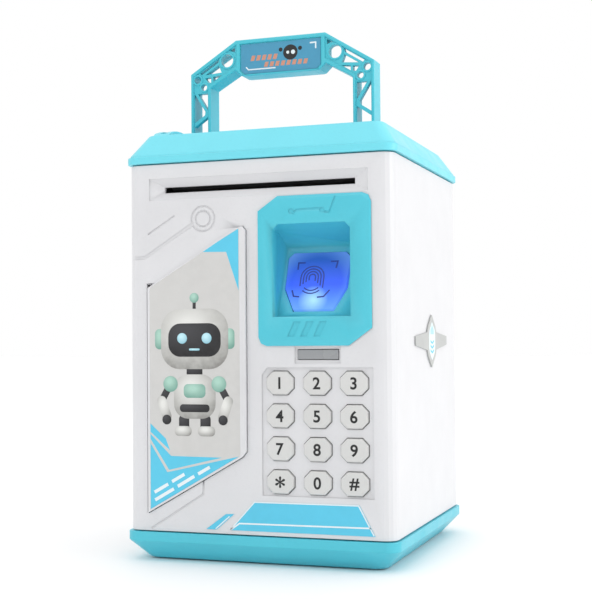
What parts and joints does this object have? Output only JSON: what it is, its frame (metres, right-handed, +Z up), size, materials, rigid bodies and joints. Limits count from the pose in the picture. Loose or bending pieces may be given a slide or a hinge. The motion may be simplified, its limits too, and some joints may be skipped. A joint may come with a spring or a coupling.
{
  "type": "toy atm savings bank",
  "caption": "Toy cash machine money box with a keypad, a scanner window, a bill feeder, a hinged door and a folding carrying handle.",
  "frame": {"origin": "under the middle of the base, on the surface that it stands on", "axes": "+Z up, the keypad and door face -Y, +X to the right of someone who looks at the front"},
  "size_m": [0.133, 0.1348, 0.2509],
  "materials": {
    "white_plastic": "satin moulded white plastic",
    "cyan_plastic": "satin moulded cyan plastic",
    "key_plastic": "satin white key caps",
    "printed_film": "satin printed film in cyan and white",
    "label_film": null,
    "handle_film": null,
    "badge_plastic": "satin grey film with a blue centre",
    "lens_plastic": "smoky grey lens",
    "steel": "plain steel",
    "copper_wire": "wound copper wire",
    "rubber": "black rubber",
    "grey_rubber": "grey silicone rubber",
    "circuit_board": "green solder mask",
    "black_plastic": "matt black plastic",
    "gear_plastic": "natural gear plastic",
    "cell_wrap": "plain green printed cell jacket",
    "window_plastic": "translucent window lit blue from behind"
  },
  "bodies": {
    "case": {"body_shell": "white_plastic", "top_cover": "cyan_plastic", "base_tray": "cyan_plastic", "scanner_bezel": "cyan_plastic", "scanner_board": "circuit_board", "indicator_lens": "lens_plastic", "keypad_membrane": "grey_rubber", "keypad_board": "circuit_board", "front_decal": "printed_film", "front_decal_end": "printed_film", "side_badge_left": "badge_plastic", "side_badge_right": "badge_plastic", "door_pin_upper": "steel", "door_pin_lower": "steel", "latch_coil": "copper_wire", "handle_pin_left": "steel", "handle_pin_right": "steel", "feeder_frame": "black_plastic", "feed_motor": "steel", "bill_sensor": "black_plastic", "cash_partition": "white_plastic", "main_board": "circuit_board", "speaker": "black_plastic", "battery_1": "cell_wrap", "battery_2": "cell_wrap", "battery_3": "cell_wrap", "battery_contact_left": "steel", "battery_contact_right": "steel", "base_screw_front_left": "steel", "base_screw_front_right": "steel", "base_screw_rear_left": "steel", "base_screw_rear_right": "steel", "latch_spring": "steel"},
    "handle": {"handle": "cyan_plastic", "handle_label": "handle_film"},
    "door": {"door": "white_plastic", "door_label": "label_film"},
    "scanner_window": {"scanner_window": "window_plastic"},
    "latch_bolt": {"latch_bolt": "steel"},
    "feed_roller": {"feed_roller": "rubber", "feed_gear": "gear_plastic"},
    "motor_pinion": {"motor_pinion": "gear_plastic"},
    "pinch_roller": {"pinch_roller": "rubber"},
    "battery_cover": {"battery_cover": "cyan_plastic", "battery_cover_screw": "steel"},
    "key_1": {"key_1": "key_plastic"},
    "key_2": {"key_2": "key_plastic"},
    "key_3": {"key_3": "key_plastic"},
    "key_4": {"key_4": "key_plastic"},
    "key_5": {"key_5": "key_plastic"},
    "key_6": {"key_6": "key_plastic"},
    "key_7": {"key_7": "key_plastic"},
    "key_8": {"key_8": "key_plastic"},
    "key_9": {"key_9": "key_plastic"},
    "key_star": {"key_star": "key_plastic"},
    "key_0": {"key_0": "key_plastic"},
    "key_hash": {"key_hash": "key_plastic"}
  },
  "joints": [
    {"name": "handle_fold", "type": "hinge", "parent": "case", "child": "handle", "pos_m": [0, -0.0254, 0.1953], "axis": [-1, 0, 0], "range_deg": [0, 90]},
    {"name": "door_swing", "type": "hinge", "parent": "case", "child": "door", "pos_m": [-0.0522, -0.0646, 0.0743], "axis": [0, 0, -1], "range_deg": [0, 90]},
    {"name": "latch_throw", "type": "slide", "parent": "case", "child": "latch_bolt", "axis": [-1, 0, 0], "range_m": [0, 0.0045], "deforming": ["latch_spring"]},
    {"name": "scanner_press", "type": "slide", "parent": "case", "child": "scanner_window", "axis": [0, 0.9164, -0.4002], "range_m": [0, 0.0008], "stiffness_N_per_m": 800},
    {"name": "feed_roller_spin", "type": "hinge", "parent": "case", "child": "feed_roller", "pos_m": [0, -0.0519, 0.17005], "axis": [1, 0, 0], "continuous": true},
    {"name": "motor_spin", "type": "hinge", "parent": "case", "child": "motor_pinion", "pos_m": [0.0504, -0.0459, 0.15785], "axis": [1, 0, 0], "continuous": true},
    {"name": "pinch_roller_spin", "type": "hinge", "parent": "case", "child": "pinch_roller", "pos_m": [0, -0.0519, 0.17835], "axis": [1, 0, 0], "continuous": true},
    {"name": "battery_cover_lift", "type": "slide", "parent": "case", "child": "battery_cover", "axis": [0, 0, -1], "range_m": [0, 0.02]},
    {"name": "key_1_press", "type": "slide", "parent": "case", "child": "key_1", "axis": [0, 1, 0], "range_m": [0, 0.001], "stiffness_N_per_m": 600},
    {"name": "key_2_press", "type": "slide", "parent": "case", "child": "key_2", "axis": [0, 1, 0], "range_m": [0, 0.001], "stiffness_N_per_m": 600},
    {"name": "key_3_press", "type": "slide", "parent": "case", "child": "key_3", "axis": [0, 1, 0], "range_m": [0, 0.001], "stiffness_N_per_m": 600},
    {"name": "key_4_press", "type": "slide", "parent": "case", "child": "key_4", "axis": [0, 1, 0], "range_m": [0, 0.001], "stiffness_N_per_m": 600},
    {"name": "key_5_press", "type": "slide", "parent": "case", "child": "key_5", "axis": [0, 1, 0], "range_m": [0, 0.001], "stiffness_N_per_m": 600},
    {"name": "key_6_press", "type": "slide", "parent": "case", "child": "key_6", "axis": [0, 1, 0], "range_m": [0, 0.001], "stiffness_N_per_m": 600},
    {"name": "key_7_press", "type": "slide", "parent": "case", "child": "key_7", "axis": [0, 1, 0], "range_m": [0, 0.001], "stiffness_N_per_m": 600},
    {"name": "key_8_press", "type": "slide", "parent": "case", "child": "key_8", "axis": [0, 1, 0], "range_m": [0, 0.001], "stiffness_N_per_m": 600},
    {"name": "key_9_press", "type": "slide", "parent": "case", "child": "key_9", "axis": [0, 1, 0], "range_m": [0, 0.001], "stiffness_N_per_m": 600},
    {"name": "key_star_press", "type": "slide", "parent": "case", "child": "key_star", "axis": [0, 1, 0], "range_m": [0, 0.001], "stiffness_N_per_m": 600},
    {"name": "key_0_press", "type": "slide", "parent": "case", "child": "key_0", "axis": [0, 1, 0], "range_m": [0, 0.001], "stiffness_N_per_m": 600},
    {"name": "key_hash_press", "type": "slide", "parent": "case", "child": "key_hash", "axis": [0, 1, 0], "range_m": [0, 0.001], "stiffness_N_per_m": 600}
  ],
  "couplings": [
    {"joint": "motor_spin", "follows": "feed_roller_spin", "ratio": -2.4},
    {"joint": "pinch_roller_spin", "follows": "feed_roller_spin", "ratio": -1}
  ]
}
